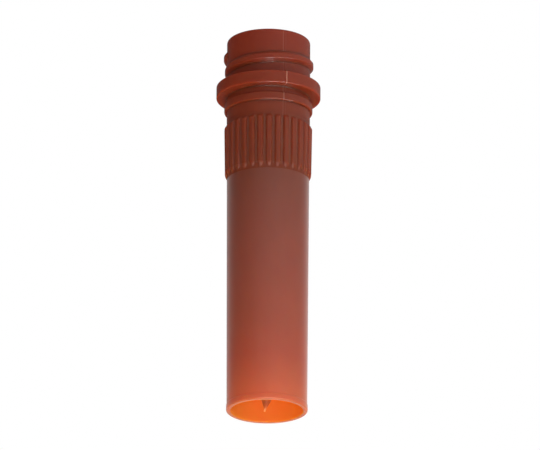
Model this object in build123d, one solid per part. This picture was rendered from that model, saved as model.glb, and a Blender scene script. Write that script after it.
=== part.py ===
from build123d import *
import os
from math import cos, radians, sin, tan

# Screw-cap micro tube that stands on its own skirt, about 2 ml, without its cap.
# Millimetres. The tube's axis is +Z and the origin is the centre of its base.
# The real tube is one moulding. Each working feature of it is a solid of its own
# here, and neighbours meet face to face.

# Overall sizes
height = 47.8
wall = 0.76  # plastic thickness of the barrel and the cone
base_radius = 4.90
draft = 0.005  # the barrel widens by this much radius for each mm of height

# Skirt: the foot that stands on the bench
skirt_wall = 0.46
foot_flare = 0.06
foot_flare_top = 0.75
foot_round = 0.12

# Conical bottom of the vessel and the pip that the moulding gate leaves under it
cone_half_angle = 21.0
cone_tip_radius = 1.0  # inside
cone_tip_centre = 3.4  # height of the tip sphere's centre
cone_reach = 4.205  # inside radius where the cone meets the bore
crown_reach = 4.39  # radius of the highest point inside the skirt
pip_radius = 0.72
pip_stem_radius = 0.18
pip_stem_top = 0.55
pip_tip_radius = 0.14
pip_tip_height = 0.15
pip_overlap = 0.3  # how far the pip is drawn up past the lowest point of the tip

# Heights of the stations along the barrel and neck
ribs_bottom = 29.65
ribs_top = 36.7
shoulder_bottom = 37.1
bead_bottom = 38.45
bead_top = 39.5
collar_bottom = 40.28
collar_top = 41.87
lip_bottom = 47.0

# Radii of the neck end
shoulder_radius = 5.11
bead_radius = 5.42
neck_radius = 5.12
collar_radius = 6.40
mouth_radius = 4.35
collar_edge = 0.12
bead_edge = 0.10
lip_round = 0.32
lip_inner_round = 0.15

# Grip ribs
rib_count = 30
rib_turn = 1.2  # degrees that the first rib stands away from the front
rib_crest_top = 5.405
rib_crest_bottom = 5.29
rib_top_bevel = 0.5
rib_bottom_bevel = 0.42
rib_crest_width = 0.46
rib_root_width = 0.84

# Cap thread: one start, right hand
thread_pitch = 2.1
thread_height = 0.40
thread_crest_width = 0.56
thread_root_width = 1.45
thread_left_height = 45.65  # ridge centre where it first passes -X
thread_lead_in = 18.0  # degrees of ridge in front of -X
thread_turns = 1.12  # from -X, round the back, to the lower end
thread_steps_per_turn = 36
thread_upper_fade = 22.0  # degrees over which the ridge rises from the neck
thread_lower_fade = 70.0
thread_end_share = 0.12  # share of the full height at which the ridge starts and ends
thread_end_width = 0.35  # share of the root width that a ridge of no height has
thread_root_depth = 0.15  # how far the section is drawn into the neck before it is trimmed


def barrel_radius(z):
    """Outside radius of the drafted barrel at a height."""
    return base_radius + draft * z


def bore_radius(z):
    """Inside radius of the barrel, parallel to the outside, up to the neck."""
    return mouth_radius - draft * (collar_bottom - z)


def turned(*points):
    """Solid of revolution about Z from (radius, height) corners."""
    outline = Polyline(*[(r, 0, z) for r, z in points], close=True)
    return revolve(make_face(outline), Axis.Z)


def round_rims(ring, radius):
    """Rounds the two outer edges of a plain ring."""
    circles = ring.edges().filter_by(GeomType.CIRCLE).sort_by(SortBy.RADIUS)
    return fillet(circles[-2:], radius)


# Stations of the cone, found from where its walls meet the bore and the skirt
slope = radians(cone_half_angle)
outer_tip_radius = cone_tip_radius + wall


def cone_point(tip_radius, reach):
    """Point of a cone wall, tangent to its tip sphere, at a radius."""
    start_r = tip_radius * cos(slope)
    start_z = cone_tip_centre - tip_radius * sin(slope)
    return reach, start_z + (reach - start_r) / tan(slope)


def skirt_bore(z):
    """Inside radius of the skirt, which narrows upwards by the same draft."""
    return base_radius - skirt_wall - draft * z


def tip_corner(tip_radius):
    """Point where the tip sphere meets its cone."""
    return tip_radius * cos(slope), cone_tip_centre - tip_radius * sin(slope)


cone_top_r, cone_top = cone_point(cone_tip_radius, cone_reach)
crown_r, crown = cone_point(outer_tip_radius, crown_reach)


def make_skirt():
    return turned(
        (skirt_bore(0), 0),
        (barrel_radius(0) + foot_flare - foot_round, 0),
        (barrel_radius(0) + foot_flare, foot_round),
        (barrel_radius(0) + foot_flare, foot_flare_top - foot_flare),
        (barrel_radius(foot_flare_top), foot_flare_top),
        (barrel_radius(cone_top), cone_top),
        (crown_r, cone_top),
        (crown_r, crown),
    )


def make_conical_bottom():
    inner_r, inner_z = tip_corner(cone_tip_radius)
    outer_r, outer_z = tip_corner(outer_tip_radius)
    inner_low = cone_tip_centre - cone_tip_radius
    outer_low = cone_tip_centre - outer_tip_radius
    half = radians(90 - cone_half_angle) / 2
    inner_mid = (cone_tip_radius * sin(half), cone_tip_centre - cone_tip_radius * cos(half))
    outer_mid = (outer_tip_radius * sin(half), cone_tip_centre - outer_tip_radius * cos(half))
    edges = [
        Line((0, 0, inner_low), (0, 0, outer_low)),
        ThreePointArc((0, 0, outer_low), (outer_mid[0], 0, outer_mid[1]), (outer_r, 0, outer_z)),
        Line((outer_r, 0, outer_z), (crown_r, 0, crown)),
        Line((crown_r, 0, crown), (crown_r, 0, cone_top)),
        Line((crown_r, 0, cone_top), (cone_top_r, 0, cone_top)),
        Line((cone_top_r, 0, cone_top), (inner_r, 0, inner_z)),
        ThreePointArc((inner_r, 0, inner_z), (inner_mid[0], 0, inner_mid[1]), (0, 0, inner_low)),
    ]
    return revolve(make_face(edges), Axis.Z)


def make_gate_pip():
    """Short cone under the tip, drawn out to a thin stem that ends just above the bench."""
    pip_top = cone_tip_centre - outer_tip_radius + pip_overlap
    rough = turned(
        (0, pip_tip_height),
        (pip_tip_radius, pip_tip_height),
        (pip_stem_radius, pip_stem_top),
        (pip_radius, pip_top),
        (0, pip_top),
    )
    ball = Pos(0, 0, cone_tip_centre) * Sphere(outer_tip_radius)
    return rough - ball


def make_barrel():
    return turned(
        (cone_top_r, cone_top),
        (barrel_radius(cone_top), cone_top),
        (barrel_radius(shoulder_bottom), shoulder_bottom),
        (bore_radius(shoulder_bottom), shoulder_bottom),
    )


def make_grip_ribs():
    envelope = turned(
        (barrel_radius(ribs_bottom), ribs_bottom),
        (rib_crest_bottom, ribs_bottom + rib_bottom_bevel),
        (rib_crest_top, ribs_top - rib_top_bevel),
        (barrel_radius(ribs_top), ribs_top),
    )
    spare = 0.2  # the rib is drawn past the envelope on every side, which then trims it
    inner = barrel_radius(ribs_bottom) - spare
    outer = rib_crest_top + spare
    slant = (rib_root_width - rib_crest_width) / 2 / (rib_crest_top - barrel_radius(ribs_top))
    root_half = rib_root_width / 2 + slant * spare
    tip_half = rib_crest_width / 2 - slant * spare
    corners = [(-root_half, inner), (root_half, inner), (tip_half, outer), (-tip_half, outer)]
    section = Polyline(*[(x, -y, ribs_bottom - spare) for x, y in corners], close=True)
    blade = extrude(make_face(section), ribs_top - ribs_bottom + 2 * spare, dir=(0, 0, 1))
    rib = blade & envelope
    turns = [rib_turn + i * 360 / rib_count for i in range(rib_count)]
    return Compound([rib.rotate(Axis.Z, turn).solid() for turn in turns])


def make_shoulder():
    return turned(
        (bore_radius(shoulder_bottom), shoulder_bottom),
        (shoulder_radius, shoulder_bottom),
        (shoulder_radius, collar_bottom),
        (mouth_radius, collar_bottom),
    )


def make_retaining_bead():
    bead = turned(
        (shoulder_radius, bead_bottom),
        (bead_radius, bead_bottom),
        (bead_radius, bead_top),
        (shoulder_radius, bead_top),
    )
    return round_rims(bead, bead_edge)


def make_collar():
    collar = turned(
        (neck_radius, collar_bottom),
        (collar_radius, collar_bottom),
        (collar_radius, collar_top),
        (neck_radius, collar_top),
    )
    return round_rims(collar, collar_edge)


def make_neck():
    return turned(
        (mouth_radius, collar_bottom),
        (neck_radius, collar_bottom),
        (neck_radius, lip_bottom),
        (mouth_radius, lip_bottom),
    )


def make_lip():
    lip = turned(
        (mouth_radius, lip_bottom),
        (neck_radius, lip_bottom),
        (neck_radius, height),
        (mouth_radius, height),
    )
    top_circles = lip.edges().filter_by(GeomType.CIRCLE).group_by(Axis.Z)[-1]
    outside = top_circles.sort_by(SortBy.RADIUS)[-1]
    lip = fillet(outside, lip_round)
    top_circles = lip.edges().filter_by(GeomType.CIRCLE).group_by(Axis.Z)[-1]
    inside = top_circles.sort_by(SortBy.RADIUS)[0]
    return fillet(inside, lip_inner_round)


def ridge_section(turn, share):
    """Section of the thread ridge a number of degrees past -X, going clockwise from above.
    share is how much of the full height stands there."""
    z = thread_left_height - thread_pitch * turn / 360
    crest = neck_radius + thread_height * share
    half_crest = thread_crest_width / 2 * share
    half_root = thread_root_width / 2 * (thread_end_width + (1 - thread_end_width) * share)
    around = radians(180 - turn)
    corners = (
        (neck_radius - thread_root_depth, z - half_root),
        (neck_radius, z - half_root),
        (crest, z - half_crest),
        (crest, z + half_crest),
        (neck_radius, z + half_root),
        (neck_radius - thread_root_depth, z + half_root),
    )
    points = [(r * cos(around), r * sin(around), h) for r, h in corners]
    return make_face(Polyline(*points, close=True))


def make_cap_thread():
    first = -thread_lead_in
    last = 360 * thread_turns
    steps = round(thread_steps_per_turn * (last - first) / 360)
    sections = []
    for i in range(steps + 1):
        turn = first + (last - first) * i / steps
        rise = min((turn - first) / thread_upper_fade, 1)
        fall = min((last - turn) / thread_lower_fade, 1)
        share = max(min(sin(radians(90) * rise), sin(radians(90) * fall)), thread_end_share)
        sections.append(ridge_section(turn, share))
    ridge = loft(sections, ruled=True)
    inside_neck = Pos(0, 0, (collar_top + height) / 2) * Cylinder(neck_radius, height - collar_bottom)
    return ridge - inside_neck


parts = {
    "skirt": make_skirt(),
    "conical_bottom": make_conical_bottom(),
    "gate_pip": make_gate_pip(),
    "barrel": make_barrel(),
    "grip_ribs": make_grip_ribs(),
    "shoulder": make_shoulder(),
    "retaining_bead": make_retaining_bead(),
    "collar": make_collar(),
    "neck": make_neck(),
    "sealing_lip": make_lip(),
    "cap_thread": make_cap_thread(),
}

os.makedirs("parts", exist_ok=True)
for name, solid in parts.items():
    export_step(solid, f"parts/{name}.step")
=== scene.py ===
import math

import bpy
from mathutils import Matrix, Vector


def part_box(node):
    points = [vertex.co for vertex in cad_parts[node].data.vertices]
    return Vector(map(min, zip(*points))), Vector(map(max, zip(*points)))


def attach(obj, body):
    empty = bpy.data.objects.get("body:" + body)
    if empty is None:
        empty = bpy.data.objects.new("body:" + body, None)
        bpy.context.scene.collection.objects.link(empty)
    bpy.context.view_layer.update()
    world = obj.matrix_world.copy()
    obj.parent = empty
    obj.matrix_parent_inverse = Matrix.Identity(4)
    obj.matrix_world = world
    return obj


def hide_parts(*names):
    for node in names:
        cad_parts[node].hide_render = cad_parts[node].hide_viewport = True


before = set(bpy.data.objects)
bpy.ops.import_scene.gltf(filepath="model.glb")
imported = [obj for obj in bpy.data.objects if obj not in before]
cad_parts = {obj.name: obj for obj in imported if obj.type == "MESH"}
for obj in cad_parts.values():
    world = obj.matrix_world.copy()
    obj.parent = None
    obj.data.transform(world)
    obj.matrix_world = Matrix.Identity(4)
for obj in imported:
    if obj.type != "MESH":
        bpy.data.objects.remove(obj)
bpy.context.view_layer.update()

MM = 0.001

# Moulding details that are finer than the CAD
SEAM_TURN = math.radians(20.5)  # parting line, from the front (-Y) towards +X, and again opposite
SEAM_WIDTH = 0.08 * MM
SEAM_PROUD = 0.06 * MM
INSERT_TURN = math.radians(24.3)  # a fainter line beside it, left on the neck by the mould's insert
INSERT_PROUD = 0.02 * MM
ROOT = 0.08 * MM  # how far an added feature is sunk into the wall behind it
FEATHER = 0.004 * MM  # how far below the wall's surface its outermost edge ends
FILLET = 0.04 * MM  # at the foot of an added feature
BEAD_FILLET = 0.05 * MM
BEAD_EDGE = 0.15 * MM
COLLAR_EDGE = 0.13 * MM
SHELL_SHARE = 0.5  # the lines stand this share as proud on the shell as on the bead and collar

# Colour of the plastic at heights in mm, in linear light. The red-brown is its own; its brightening
# towards the foot is painted light, a painted glow for light that gets in at the open foot
PLASTIC_COLOURS_WITH_PAINTED_GLOW = [
    (0, (0.55, 0.135, 0.042)),
    (6, (0.45, 0.080, 0.031)),
    (17, (0.33, 0.064, 0.030)),
    (25, (0.26, 0.052, 0.023)),
    (29, (0.220, 0.043, 0.016)),
    (36, (0.230, 0.040, 0.014)),
    (41, (0.265, 0.038, 0.013)),
    (48, (0.28, 0.036, 0.014)),
]
# Painted glow inside the skirt: a brighter copy of the plastic's colour that stands in for light coming
# through its thin wall
LIT_COLOURS = [(0, (0.93, 0.27, 0.030)), (48, (0.93, 0.27, 0.030))]
# The pip: its torn end is painted paler, a painted highlight, and its upper end has the painted glow of
# the inside of the skirt
GATE_COLOURS = [
    (0.3, (1.0, 0.36, 0.12)),
    (0.6, (0.56, 0.14, 0.022)),
    (1.1, (0.42, 0.09, 0.02)),
    (1.9, (0.93, 0.27, 0.03)),
]
# Painted light between the ribs: lighter than the plastic there, against the shade of the grooves
GROOVE_PAINTED_LIGHT_COLOUR = (0.27, 0.064, 0.030, 1)
# Painted highlight along the moulding lines; the lines themselves are real ridges
SEAM_HIGHLIGHT_COLOUR = (1.0, 0.50, 0.38, 1)

# How light travels in the plastic
REFRACTION = 1.49
SCATTER_SHARES = (1.0, 0.45, 0.18)  # how far red, green and blue get, as shares of the depth
SCATTER_DEPTH = 2.0 * MM
PIP_DEPTH = 0.5 * MM  # less in the pip, which is thinner than the full depth

# Unevenness of the plastic
CLOUD_SCALE = 260
CLOUD_COLOUR = 0.06  # share by which the clouds change the colour, up and down
CLOUD_ROUGHNESS = 0.04  # how much they change the roughness, up and down
GRAIN_SCALE = 5200
GRAIN_STRENGTH = 0.10
GRAIN_HEIGHT = 0.02 * MM

# Cone, foot, ribs and thread. Their sizes are the CAD's, but their ends are softer here
CONE_HALF_ANGLE = math.radians(21)
TIP_RADIUS = 1.0 * MM  # inside the tip of the cone
WALL = 0.76 * MM
FLARE_TOP = 0.69 * MM  # height at which the foot's flare starts to narrow
FLARE_END = 0.78 * MM  # height at which it has met the barrel
RIB_COUNT = 30
RIB_TURN = math.radians(1.2)  # from the front to the first rib
RIB_ROOT = 0.84 * MM  # width at the barrel
RIB_CREST = 0.46 * MM  # width at the crest
RIB_BEVEL = 0.42 * MM  # length of the CAD's bevelled lower end
RIB_NOSE = 0.85 * MM  # length over which the ribs rise at their lower end
RIB_NOSE_WIDTH = 0.35  # share of its width that a rib has at its lowest point
RIB_FADE = 0.50 * MM  # length of the bevelled upper end
THREAD_DROP = 2.15 * MM  # from the mouth down to the ridge where it first passes -X
THREAD_PITCH = 2.1 * MM
THREAD_ROOT = 1.45 * MM  # width at the neck
THREAD_CREST = 0.56 * MM  # width at the crest
THREAD_START = -18  # degrees past -X, going round by the back
THREAD_END = 403
THREAD_RISE = 22  # degrees over which the ridge comes up
THREAD_FALL = 75  # degrees over which it goes down
THREAD_END_WIDTH = 0.45  # share of its width that the ridge has at its ends
THREAD_SINK = 0.03 * MM  # depth in the wall at which the ridge starts and ends
THREAD_STEPS = 200

# Gate pip
PIP_TIP = 0.14 * MM  # radius of the torn end
PIP_STEM = 0.18 * MM  # radius at the upper end of the stem
PIP_STEM_LENGTH = 0.40 * MM
PIP_TOP = 0.74 * MM  # radius where it meets the tip of the cone
PIP_SPREAD = 1.1 * MM  # radius to which it spreads inside the wall of the tip
PIP_LEAN = Vector((-0.3, 0.6)) * MM  # from the axis to the torn end
PIP_BEND = 1.5  # power of the curve along which it leans


# ---------------------------------------------------------------- sizes read from the frame

def radii(node, height, slack=0.02 * MM):
    """Smallest and largest radius of a CAD node's corners at one height."""
    found = [
        math.hypot(v.co.x, v.co.y)
        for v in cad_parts[node].data.vertices
        if abs(v.co.z - height) < slack
    ]
    return min(found), max(found)


def span(node):
    """Lowest and highest point of a CAD node."""
    low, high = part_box(node)
    return low.z, high.z


barrel_bottom, barrel_top = span("barrel")
collar_bottom, collar_top = span("collar")
bead_bottom, bead_top = span("retaining_bead")
ribs_bottom, ribs_top = span("grip_ribs")
cone_bottom, cone_top = span("conical_bottom")
mouth_top = span("sealing_lip")[1]

collar_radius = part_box("collar")[1].x
bead_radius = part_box("retaining_bead")[1].x
thread_radius = max(math.hypot(v.co.x, v.co.y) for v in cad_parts["cap_thread"].data.vertices)
rib_radius_low = radii("grip_ribs", ribs_bottom + RIB_BEVEL)[1]
rib_radius_high = radii("grip_ribs", ribs_top - RIB_FADE)[1]
shoulder_radius = radii("shoulder", collar_bottom)[1]
neck_bore, neck_radius = radii("neck", collar_bottom)
barrel_bore_top, barrel_radius_top = radii("barrel", barrel_top)
barrel_bore_bottom, barrel_radius_bottom = radii("barrel", barrel_bottom)
skirt_bore = radii("skirt", 0)[0]
skirt_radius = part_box("skirt")[1].x
crown_radius = radii("conical_bottom", cone_top)[1]


def barrel_radius(z):
    """Outside of the drafted barrel and skirt at a height."""
    slope = (barrel_radius_top - barrel_radius_bottom) / (barrel_top - barrel_bottom)
    return barrel_radius_bottom + slope * (z - barrel_bottom)


# ---------------------------------------------------------------- outlines

def rounded(corners, steps=5, lead=0.03 * MM):
    """An outline of (across, up, rounding) corners, with an arc at each corner that has a rounding.
    An arc takes less than half of each side beside it. lead adds a support point beside each arc,
    so that flat stretches shade flat."""
    most = 0.48
    outline = []
    for i, (across, up, rounding) in enumerate(corners):
        here = Vector((across, up))
        if not rounding:
            outline.append(here)
            continue
        before = Vector(corners[i - 1][:2]) - here
        after = Vector(corners[i + 1][:2]) - here
        half = before.angle(after) / 2
        reach = min(rounding / math.tan(half), most * before.length, most * after.length)
        middle = (before.normalized() + after.normalized()).normalized()
        centre = here + middle * (reach / math.cos(half))
        start = here + before.normalized() * reach
        end = here + after.normalized() * reach
        if before.length > 3 * reach + lead:
            outline.append(start + before.normalized() * lead)
        turn = (start - centre).angle_signed(end - centre)
        for k in range(steps + 1):
            outline.append(centre + Matrix.Rotation(-turn * k / steps, 2) @ (start - centre))
        if after.length > 3 * reach + lead:
            outline.append(end + after.normalized() * lead)
    return outline


def tip_arc(centre, radius, start, end, steps=14):
    """Points of an arc about a centre on the axis, by angle from straight down."""
    turns = [start + (end - start) * i / steps for i in range(steps + 1)]
    return [Vector((radius * math.sin(a), centre - radius * math.cos(a))) for a in turns]


# ---------------------------------------------------------------- meshes

def turn_between(a, b):
    """Size of the angle between two directions round the axis."""
    return abs((a - b + math.pi) % (2 * math.pi) - math.pi)


def smooth(share):
    """Eases a share from 0 to 1."""
    share = min(1, max(0, share))
    return share * share * (3 - 2 * share)


PARTING = [(SEAM_TURN, SEAM_PROUD), (SEAM_TURN + math.pi, SEAM_PROUD)]
LINES = PARTING + [(INSERT_TURN, INSERT_PROUD), (INSERT_TURN + math.pi, INSERT_PROUD)]
LINE_HALF = SEAM_WIDTH / 2 / neck_radius
RIB_PITCH = 2 * math.pi / RIB_COUNT


def columns():
    """Angles of the columns of a turned piece: closest at the flanks of the ribs, and fine ones
    across the moulding lines."""
    shares = (-0.4, 0, 0.25, 0.5, 0.75, 1, 1.2)
    flank = [RIB_CREST / 2 + (RIB_ROOT - RIB_CREST) / 2 * share for share in shares]
    offsets = [0, RIB_PITCH / 2]
    offsets += [side * across / neck_radius for across in flank for side in (-1, 1)]
    ribs = [RIB_TURN + i * RIB_PITCH for i in range(RIB_COUNT)]
    angles = [rib + offset for rib in ribs for offset in offsets]
    angles = [a for a in angles if all(turn_between(a, line) > 2 * LINE_HALF for line, _ in LINES)]
    for line, _ in LINES:
        angles += [line + k * LINE_HALF for k in (-1.5, -1, -0.5, 0, 0.5, 1, 1.5)]
    return sorted(a % (2 * math.pi) for a in angles)


def line_height(angle, lines):
    """How far a moulding line stands proud at an angle."""
    return max(proud * max(0, 1 - turn_between(angle, line) / LINE_HALF) for line, proud in lines)


def rib_height(angle, z):
    """How far the grip ribs stand off the barrel: flat crests that ease out at both ends."""
    if not ribs_bottom < z < ribs_top:
        return 0
    nearest = round((angle - RIB_TURN) / RIB_PITCH) * RIB_PITCH + RIB_TURN
    along = (z - ribs_bottom) / (ribs_top - ribs_bottom)
    crest = rib_radius_low + (rib_radius_high - rib_radius_low) * along - barrel_radius(z)
    nose = smooth((z - ribs_bottom) / RIB_NOSE)
    width = RIB_NOSE_WIDTH + (1 - RIB_NOSE_WIDTH) * nose
    aside = abs(angle - nearest) * neck_radius / width
    flank = smooth((RIB_ROOT / 2 - aside) / ((RIB_ROOT - RIB_CREST) / 2))
    return crest * flank * nose * smooth((ribs_top - z) / RIB_FADE)


def around(radius, angle, z):
    """A point at an angle that runs from the front (-Y) towards +X."""
    return radius * math.sin(angle), -radius * math.cos(angle), z


def turned(outline, relief=lambda point, angle: 0, closed=True):
    """Vertices and faces of an outline turned about Z. relief gives what is added to the radius.
    A point on the axis closes the surface there."""
    angles = columns()
    vertices, rows = [], []
    for point in outline:
        if point.x < 1e-7:
            rows.append([len(vertices)] * len(angles))
            vertices.append((0, 0, point.y))
            continue
        rows.append(range(len(vertices), len(vertices) + len(angles)))
        vertices += [around(point.x + relief(point, a), a, point.y) for a in angles]
    faces = []
    for low, high in zip(rows, rows[1:] + rows[:1] if closed else rows[1:]):
        for i in range(len(angles)):
            j = (i + 1) % len(angles)
            faces.append(list(dict.fromkeys((low[i], low[j], high[j], high[i]))))
    return vertices, faces


def swept(sections):
    """Vertices and faces of a bar through closed sections of equal length, capped at its ends."""
    count = len(sections[0])
    vertices = [point for section in sections for point in section]
    faces = []
    for row in range(len(sections) - 1):
        for i in range(count):
            j = (i + 1) % count
            low, high = row * count, (row + 1) * count
            faces.append([low + i, low + j, high + j, high + i])
    faces.append(list(range(count))[::-1])
    faces.append([(len(sections) - 1) * count + i for i in range(count)])
    return vertices, faces


def painted_groove_light_share(point):
    """1 between the ribs, where the colour is painted lighter, 0 elsewhere: painted light that evens out
    the shade of the grooves and stands for light through the thinner wall there.
    """
    x, y, z = point
    over = math.hypot(x, y) - barrel_radius(z)
    bore_side = -0.1 * MM
    if not ribs_bottom < z < ribs_top or over < bore_side:
        return 0
    ends = min(1, (z - ribs_bottom) / RIB_NOSE, (ribs_top - z) / RIB_FADE)
    return ends * max(0, 1 - over / (rib_radius_low - barrel_radius_top))


MATT, GLOSSY, LIT, SATIN = range(4)


def shell_finish(point):
    """Which material the shell has at a point: glossy above the lower ends of the ribs, satin on
    those ends, lit inside the skirt and matt elsewhere."""
    x, y, z = point
    if z > ribs_bottom:
        return GLOSSY if z > ribs_bottom + RIB_NOSE else SATIN
    in_skirt = math.hypot(x, y) < skirt_bore + 0.02 * MM and z < cone_top - 0.1 * MM
    return LIT if in_skirt else MATT


def piece(name, shape, materials, *nodes, seam=0, seam_from=0, grooved=False):
    """A smooth piece of the moulding that stands for CAD nodes. seam is how strongly the moulding lines
    get a painted highlight, a lighter colour, beyond the radius seam_from. Only the shell is grooved: it
    also has the insert's lines, painted light between its ribs, and its materials in the order of MATT,
    GLOSSY, LIT, SATIN."""
    mesh = bpy.data.meshes.new(name)
    mesh.from_pydata(shape[0], [], shape[1])
    mesh.validate()
    mesh.shade_smooth()
    # The seam attribute carries the painted highlight of the moulding lines
    line = mesh.attributes.new("seam", "FLOAT", "POINT")
    # This attribute carries the painted light between the ribs
    groove_light = mesh.attributes.new("groove_light", "FLOAT", "POINT")
    lines = LINES if grooved else PARTING
    for i, (x, y, z) in enumerate(shape[0]):
        if math.hypot(x, y) > seam_from and z > ribs_top - RIB_FADE:
            line.data[i].value = seam * line_height(math.atan2(x, -y), lines) / SEAM_PROUD
        if grooved:
            groove_light.data[i].value = painted_groove_light_share((x, y, z))
    for material in materials:
        mesh.materials.append(material)
    if grooved:
        for face in mesh.polygons:
            face.material_index = shell_finish(face.center)
    made = bpy.data.objects.new(name, mesh)
    bpy.context.scene.collection.objects.link(made)
    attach(made, "root")
    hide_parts(*nodes)
    return made


# ---------------------------------------------------------------- the pieces

def rib_rows():
    """Heights of the rows of faces over the ribs, closest at their ends."""
    nose_rows, fade_rows = 10, 8
    past = 1.15  # the upper rows start this share of the fade below the top
    heights = [ribs_bottom + RIB_NOSE * i / nose_rows for i in range(nose_rows + 1)]
    heights += [ribs_bottom + (ribs_top - ribs_bottom) * share for share in (0.16, 0.3, 0.5, 0.7, 0.88)]
    heights += [ribs_top - RIB_FADE * (past - past * i / fade_rows) for i in range(fade_rows + 1)]
    return heights


def vessel_shell():
    """The one continuous wall: skirt, barrel with its ribs, shoulder, neck and rim outside, bore
    and cone inside, and the cone's underside with the hollow of the skirt."""
    inner_tip = TIP_RADIUS
    outer_tip = TIP_RADIUS + WALL
    centre = cone_bottom + outer_tip
    flat_turn = math.pi / 2 - CONE_HALF_ANGLE
    crown = centre - outer_tip * math.sin(CONE_HALF_ANGLE)
    crown += (crown_radius - outer_tip * math.cos(CONE_HALF_ANGLE)) / math.tan(CONE_HALF_ANGLE)
    outline = tip_arc(centre, outer_tip, 0, flat_turn)
    outline += rounded([
        (outline[-1].x, outline[-1].y, 0),
        (crown_radius, crown, 0.2 * MM),
        (skirt_bore, 0, 0.08 * MM),
        (skirt_radius, 0, 0.15 * MM),
        (skirt_radius, FLARE_TOP, 0.05 * MM),
        (barrel_radius(FLARE_END), FLARE_END, 0.08 * MM),
        (barrel_radius(ribs_bottom - 0.1 * MM), ribs_bottom - 0.1 * MM, 0),
    ])[1:]
    outline += [Vector((barrel_radius(z), z)) for z in rib_rows()]
    outline += rounded([
        (barrel_radius(ribs_top + 0.1 * MM), ribs_top + 0.1 * MM, 0),
        (barrel_radius_top, barrel_top - 0.06 * MM, 0.05 * MM),
        (shoulder_radius, barrel_top, 0.04 * MM),
        (shoulder_radius, collar_bottom, 0),
        (neck_radius, collar_bottom + 0.1 * MM, 0),
        (neck_radius, mouth_top, 0.32 * MM),
        (neck_bore, mouth_top, 0.15 * MM),
        (neck_bore, collar_bottom, 0.3 * MM),
        (barrel_bore_top, barrel_top, 0),
        (barrel_bore_bottom, cone_top, 1.6 * MM),
        (inner_tip * math.cos(CONE_HALF_ANGLE), centre - inner_tip * math.sin(CONE_HALF_ANGLE), 0),
    ])
    outline += tip_arc(centre, inner_tip, flat_turn, 0)[1:]

    def relief(point, angle):
        if point.x < neck_bore + 0.4 * MM or point.y < ribs_bottom:
            return 0
        lined = ribs_top - RIB_FADE < point.y < mouth_top - 0.05 * MM
        seam = SHELL_SHARE * line_height(angle, LINES) if lined else 0
        return max(rib_height(angle, point.y), seam)

    return turned(outline, relief, closed=False)


def ring(wall_radius, radius, bottom, top, edge, fillet=FILLET):
    """A ring on the outside of a wall, with rounded edges and fillets at its foot."""
    outline = rounded([
        (wall_radius - ROOT, bottom - 2 * fillet, 0),
        (wall_radius - FEATHER, bottom - 2 * fillet, 0),
        (wall_radius, bottom, fillet),
        (radius, bottom, edge),
        (radius, top, edge),
        (wall_radius, top, fillet),
        (wall_radius - FEATHER, top + 2 * fillet, 0),
        (wall_radius - ROOT, top + 2 * fillet, 0),
    ])

    def relief(point, angle):
        return line_height(angle, PARTING) if point.x > wall_radius + 0.05 * MM else 0

    return turned(outline, relief)


def gate_pip():
    """The pip under the tip, drawn out to one side where the gate tore off."""
    low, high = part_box("gate_pip")
    outline = [Vector((0, low.z))]
    outline += rounded([
        (0.05 * MM, low.z, 0),
        (PIP_TIP, low.z, 0.05 * MM),
        (PIP_STEM, low.z + PIP_STEM_LENGTH, 0.15 * MM),
        (PIP_TOP, high.z - 0.05 * MM, 0.15 * MM),
        (PIP_SPREAD, high.z + 0.12 * MM, 0),
    ])
    outline.append(Vector((0, high.z + 0.25 * MM)))
    vertices, faces = turned(outline, closed=False)
    bent = []
    for x, y, z in vertices:
        share = max(0, (high.z - z) / (high.z - low.z)) ** PIP_BEND
        bent.append((x + PIP_LEAN.x * share, y + PIP_LEAN.y * share, z))
    return bent, faces


def cap_thread():
    """The thread's ridge: rises from the neck at its upper end and runs out slowly below."""
    foot = 0.14 * MM  # how far its section reaches past its root, under the wall's surface
    settled = 8  # it stands on the surface once this part of its height, an eighth, has risen
    sections = []
    for i in range(THREAD_STEPS + 1):
        turn = THREAD_START + (THREAD_END - THREAD_START) * i / THREAD_STEPS
        rise = math.sin(math.pi / 2 * min(1, (turn - THREAD_START) / THREAD_RISE))
        share = rise * smooth((THREAD_END - turn) / THREAD_FALL)
        z = mouth_top - THREAD_DROP - THREAD_PITCH * turn / 360
        up = (thread_radius - neck_radius + THREAD_SINK) * share - THREAD_SINK
        sunk = THREAD_SINK * max(0, 1 - settled * share)
        width = THREAD_END_WIDTH + (1 - THREAD_END_WIDTH) * share
        root, top = THREAD_ROOT / 2 * width, THREAD_CREST / 2 * width
        angle = -math.pi / 2 - math.radians(turn)
        section = rounded([
            (-ROOT, root + foot, 0),
            (-ROOT, -root - foot, 0),
            (-FEATHER - sunk, -root - foot, 0),
            (-sunk, -root, 0.04 * MM),
            (up, -top, 0.12 * MM),
            (up, top, 0.16 * MM),
            (-sunk, root, 0.1 * MM),
            (-FEATHER - sunk, root + foot, 0),
        ], steps=4, lead=1)
        sections.append([around(neck_radius + p.x, angle, z + p.y) for p in section])
    return swept(sections)


# ---------------------------------------------------------------- materials

def node(tree, kind, **values):
    """A new shader node with some of its settings."""
    made = tree.nodes.new(kind)
    for name, value in values.items():
        setattr(made, name, value)
    return made


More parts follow.
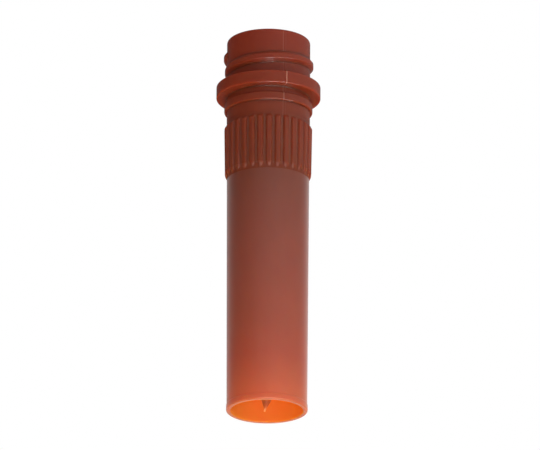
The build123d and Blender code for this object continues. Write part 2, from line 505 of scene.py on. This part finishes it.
def amber_plastic(name, roughness, specular, sheen, colours=PLASTIC_COLOURS_WITH_PAINTED_GLOW, depth=SCATTER_DEPTH):
    """Translucent red-brown polypropylene. Its colour is painted brighter towards the foot, a painted
    glow for the light that gets in at the open foot."""
    material = bpy.data.materials.new(name)
    material.use_nodes = True
    tree = material.node_tree
    link = tree.links.new
    shader = tree.nodes["Principled BSDF"]
    place = node(tree, "ShaderNodeTexCoord")
    apart = node(tree, "ShaderNodeSeparateXYZ")
    link(place.outputs["Object"], apart.inputs[0])

    # Colour by height, with the painted glow towards the foot
    height = node(tree, "ShaderNodeMapRange")
    height.inputs["From Max"].default_value = mouth_top
    link(apart.outputs["Z"], height.inputs["Value"])
    colour = node(tree, "ShaderNodeValToRGB")
    ramp = colour.color_ramp
    while len(ramp.elements) < len(colours):
        ramp.elements.new(0.5)
    for element, (z, rgb) in zip(ramp.elements, colours):
        element.position = z * MM / mouth_top
        element.color = (*rgb, 1)
    link(height.outputs[0], colour.inputs[0])

    cloud = node(tree, "ShaderNodeTexNoise")
    cloud.inputs["Scale"].default_value = CLOUD_SCALE
    cloud.inputs["Detail"].default_value = 3
    link(place.outputs["Object"], cloud.inputs["Vector"])
    shift = node(tree, "ShaderNodeMapRange")
    shift.inputs["To Min"].default_value = 1 - CLOUD_COLOUR
    shift.inputs["To Max"].default_value = 1 + CLOUD_COLOUR
    link(cloud.outputs["Fac"], shift.inputs["Value"])
    clouded = node(tree, "ShaderNodeMix", data_type="RGBA", blend_type="MULTIPLY")
    clouded.inputs["Factor"].default_value = 1
    link(colour.outputs[0], clouded.inputs["A"])
    link(shift.outputs[0], clouded.inputs["B"])
    # Painted light: a lighter colour between the ribs
    thin = node(tree, "ShaderNodeAttribute", attribute_name="groove_light")
    grooved = node(tree, "ShaderNodeMix", data_type="RGBA", blend_type="MIX")
    link(thin.outputs["Fac"], grooved.inputs["Factor"])
    link(clouded.outputs["Result"], grooved.inputs["A"])
    grooved.inputs["B"].default_value = GROOVE_PAINTED_LIGHT_COLOUR
    # Painted highlight: a lighter colour along the moulding lines
    lined = node(tree, "ShaderNodeMix", data_type="RGBA", blend_type="MIX")
    seam = node(tree, "ShaderNodeAttribute", attribute_name="seam")
    link(seam.outputs["Fac"], lined.inputs["Factor"])
    link(grooved.outputs["Result"], lined.inputs["A"])
    lined.inputs["B"].default_value = SEAM_HIGHLIGHT_COLOUR
    link(lined.outputs["Result"], shader.inputs["Base Color"])

    finish = node(tree, "ShaderNodeMapRange")
    finish.inputs["To Min"].default_value = roughness - CLOUD_ROUGHNESS
    finish.inputs["To Max"].default_value = roughness + CLOUD_ROUGHNESS
    link(cloud.outputs["Fac"], finish.inputs["Value"])
    link(finish.outputs[0], shader.inputs["Roughness"])

    grain = node(tree, "ShaderNodeTexNoise")
    grain.inputs["Scale"].default_value = GRAIN_SCALE
    grain.inputs["Detail"].default_value = 4
    link(place.outputs["Object"], grain.inputs["Vector"])
    bump = node(tree, "ShaderNodeBump")
    bump.inputs["Strength"].default_value = GRAIN_STRENGTH
    bump.inputs["Distance"].default_value = GRAIN_HEIGHT
    link(grain.outputs["Fac"], bump.inputs["Height"])
    link(bump.outputs[0], shader.inputs["Normal"])

    shader.inputs["IOR"].default_value = REFRACTION
    shader.inputs["Specular IOR Level"].default_value = specular
    shader.inputs["Sheen Weight"].default_value = sheen
    shader.inputs["Sheen Roughness"].default_value = 0.35
    shader.inputs["Subsurface Weight"].default_value = 1
    shader.inputs["Subsurface Radius"].default_value = SCATTER_SHARES
    shader.inputs["Subsurface Scale"].default_value = depth
    return material


def floor_material():
    """A pale floor with a little light of its own, so that it stays pale from every side."""
    material = bpy.data.materials.new("pale_floor")
    material.use_nodes = True
    shader = material.node_tree.nodes["Principled BSDF"]
    shader.inputs["Base Color"].default_value = (0.86, 0.86, 0.85, 1)
    shader.inputs["Roughness"].default_value = 0.9
    shader.inputs["Emission Color"].default_value = (1.0, 1.0, 0.98, 1)
    shader.inputs["Emission Strength"].default_value = 0.25
    return material


matt = amber_plastic("amber_matt", roughness=0.50, specular=0.40, sheen=0.55)
glossy = amber_plastic("amber_glossy", roughness=0.20, specular=0.25, sheen=0.0)
# The lit copy of the plastic, with its painted glow, goes inside the skirt
lit = amber_plastic("amber_lit", roughness=0.45, specular=0.25, sheen=0.0, colours=LIT_COLOURS)
satin = amber_plastic("amber_satin", roughness=0.45, specular=0.12, sheen=0.0)
gate = amber_plastic("amber_gate", 0.50, 0.15, 0.0, colours=GATE_COLOURS, depth=PIP_DEPTH)
shell = vessel_shell()
piece("vessel_shell", shell, [matt, glossy, lit, satin],
      "skirt", "conical_bottom", "barrel", "grip_ribs", "shoulder", "neck", "sealing_lip",
      seam=0.16, seam_from=neck_radius - 0.05 * MM, grooved=True)
piece("gate_pip_moulded", gate_pip(), [gate], "gate_pip")
bead = ring(shoulder_radius, bead_radius, bead_bottom, bead_top, BEAD_EDGE, BEAD_FILLET)
piece("retaining_bead_moulded", bead, [glossy], "retaining_bead",
      seam=0.4, seam_from=bead_radius - 0.12 * MM)
collar = ring(neck_radius, collar_radius, collar_bottom, collar_top, COLLAR_EDGE)
piece("collar_moulded", collar, [glossy], "collar",
      seam=1.0, seam_from=collar_radius - 0.12 * MM)
piece("cap_thread_moulded", cap_thread(), [glossy], "cap_thread")


# ---------------------------------------------------------------- studio

FLOOR_DEPTH = 0.37  # the view is from below the tube, so the floor lies under the camera
FLOOR_RADIUS = 3
BRIGHT_SIDE = Vector((0.75, -0.66, 0)).normalized()  # the room is brightest in this direction
ROOM_FALL = 2.0  # power with which its light falls off away from there
ROOM_DARKEST, ROOM_BRIGHTEST = 0.10, 0.95
LOW_HEIGHT = -0.7  # height, in a direction one long, from which the room is dimmest
LOW_SHARE = 0.1  # share of the light that is left there
CAMERA = Vector((0, -1.019, -0.335))
AIM = Vector((0.00027, 0, 0.02396))
LENS = 588.8
ROLL = math.radians(0.28)


def studio():
    """The floor, and a soft room that is brighter on one side and darker below. The camera sees
    the room as white."""
    place = (0, 0, -FLOOR_DEPTH)
    bpy.ops.mesh.primitive_circle_add(vertices=96, radius=FLOOR_RADIUS, fill_type="NGON", location=place)
    floor = bpy.context.object
    floor.name = "studio_floor"
    floor.data.materials.append(floor_material())
    floor.visible_glossy = False

    world = bpy.data.worlds.new("studio_world")
    bpy.context.scene.world = world
    world.use_nodes = True
    tree = world.node_tree
    link = tree.links.new
    background = tree.nodes["Background"]
    where = node(tree, "ShaderNodeTexCoord")
    towards = node(tree, "ShaderNodeVectorMath", operation="DOT_PRODUCT")
    towards.inputs[1].default_value = BRIGHT_SIDE
    link(where.outputs["Generated"], towards.inputs[0])
    share = node(tree, "ShaderNodeMapRange")
    share.inputs["From Min"].default_value = -1
    link(towards.outputs["Value"], share.inputs["Value"])
    fall = node(tree, "ShaderNodeMath", operation="POWER")
    fall.inputs[1].default_value = ROOM_FALL
    link(share.outputs[0], fall.inputs[0])
    sides = node(tree, "ShaderNodeMapRange")
    sides.inputs["To Min"].default_value = ROOM_DARKEST
    sides.inputs["To Max"].default_value = ROOM_BRIGHTEST
    link(fall.outputs[0], sides.inputs["Value"])
    level = node(tree, "ShaderNodeSeparateXYZ")
    link(where.outputs["Generated"], level.inputs[0])
    below = node(tree, "ShaderNodeMapRange")
    below.inputs["From Min"].default_value = LOW_HEIGHT
    below.inputs["From Max"].default_value = 0.0
    below.inputs["To Min"].default_value = LOW_SHARE
    link(level.outputs["Z"], below.inputs["Value"])
    dimmed = node(tree, "ShaderNodeMath", operation="MULTIPLY")
    link(sides.outputs[0], dimmed.inputs[0])
    link(below.outputs[0], dimmed.inputs[1])
    path = node(tree, "ShaderNodeLightPath")
    seen = node(tree, "ShaderNodeMix", data_type="FLOAT")
    link(path.outputs["Is Camera Ray"], seen.inputs["Factor"])
    link(dimmed.outputs[0], seen.inputs["A"])
    seen.inputs["B"].default_value = 1.0
    link(seen.outputs["Result"], background.inputs["Strength"])
    background.inputs["Color"].default_value = (1, 1, 1, 1)


def softbox(name, place, size, power, diffuse=True, glossy=True):
    """An area light that faces the tube. It can be left out of the shading or the reflections."""
    data = bpy.data.lights.new(name, "AREA")
    data.shape = "RECTANGLE"
    data.size, data.size_y = size
    data.energy = power
    light = bpy.data.objects.new(name, data)
    light.location = place
    light.visible_diffuse = diffuse
    light.visible_glossy = glossy
    light.rotation_mode = "QUATERNION"
    target = Vector((0, 0, 0.02))
    light.rotation_quaternion = (target - light.location).to_track_quat("-Z", "Y")
    bpy.context.scene.collection.objects.link(light)


def camera():
    """The view of the photo, from far off and from below."""
    data = bpy.data.cameras.new("camera")
    data.sensor_width = 36
    data.lens = LENS
    data.clip_start, data.clip_end = 0.01, 20
    made = bpy.data.objects.new("camera", data)
    turn = (AIM - CAMERA).to_track_quat("-Z", "Y").to_matrix().to_4x4()
    made.matrix_world = Matrix.Translation(CAMERA) @ turn @ Matrix.Rotation(ROLL, 4, "Z")
    bpy.context.scene.collection.objects.link(made)
    bpy.context.scene.camera = made


studio()
softbox("below_front", place=(0.06, -0.34, -0.34), size=(0.14, 0.14), power=1.0)
softbox("behind_right", place=(0.55, 0.85, -0.15), size=(0.25, 0.4), power=4, glossy=False)
softbox("behind_left", place=(-0.55, 0.85, -0.15), size=(0.25, 0.4), power=2.5, glossy=False)
softbox("edge_strip", place=(0.16, -0.40, -0.30), size=(0.95, 0.12), power=9, diffuse=False)
camera()
bpy.context.scene.view_settings.view_transform = "Standard"
